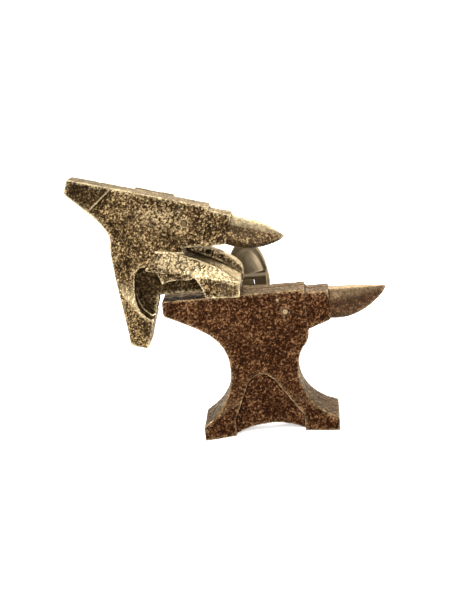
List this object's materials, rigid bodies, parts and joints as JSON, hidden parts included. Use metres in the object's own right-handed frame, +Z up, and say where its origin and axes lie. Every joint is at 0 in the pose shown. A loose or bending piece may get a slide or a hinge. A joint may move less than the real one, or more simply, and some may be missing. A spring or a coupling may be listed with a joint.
{
  "type": "anvil cufflinks",
  "caption": "Miniature cast bronze anvils as cufflinks with turning toggles, one standing and its mate leaning on its face.",
  "frame": {"origin": "centre of the pair's bounding box at the level of the standing anvil's feet", "axes": "+X along the standing anvil's horn, +Y towards its cufflink back, +Z up"},
  "size_m": [0.0344, 0.0204, 0.0306],
  "materials": {
    "antique_bronze": "pitted, oxidised, with worn bright edges",
    "polished_bronze": "polished",
    "spring_steel": "satin"
  },
  "bodies": {
    "standing_anvil": {"standing_front_casting": "antique_bronze", "standing_rear_casting": "antique_bronze", "standing_peg_1": "polished_bronze", "standing_peg_2": "polished_bronze", "standing_pad": "polished_bronze", "standing_stem": "polished_bronze", "standing_hinge_pin": "spring_steel", "standing_leaf_spring": "spring_steel"},
    "standing_toggle_body": {"standing_toggle": "polished_bronze"},
    "leaning_anvil": {"leaning_front_casting": "antique_bronze", "leaning_rear_casting": "antique_bronze", "leaning_peg_1": "polished_bronze", "leaning_peg_2": "polished_bronze", "leaning_pad": "polished_bronze", "leaning_stem": "polished_bronze", "leaning_hinge_pin": "spring_steel", "leaning_leaf_spring": "spring_steel"},
    "leaning_toggle_body": {"leaning_toggle": "polished_bronze"}
  },
  "joints": [
    {"name": "standing_toggle_turn", "type": "hinge", "parent": "standing_anvil", "child": "standing_toggle_body", "pos_m": [0.00128, 0.00395, 0.0139], "axis": [1, 0, 0], "range_deg": [-98, 0]},
    {"name": "leaning_lift", "type": "slide", "parent": "standing_anvil", "child": "leaning_anvil", "axis": [0, 0, 1], "range_m": [0, 0.03]},
    {"name": "leaning_toggle_turn", "type": "hinge", "parent": "leaning_anvil", "child": "leaning_toggle_body", "pos_m": [-0.00892, 0.00436, 0.02495], "axis": [0.9598, 0, -0.2807], "range_deg": [0, 98]}
  ]
}
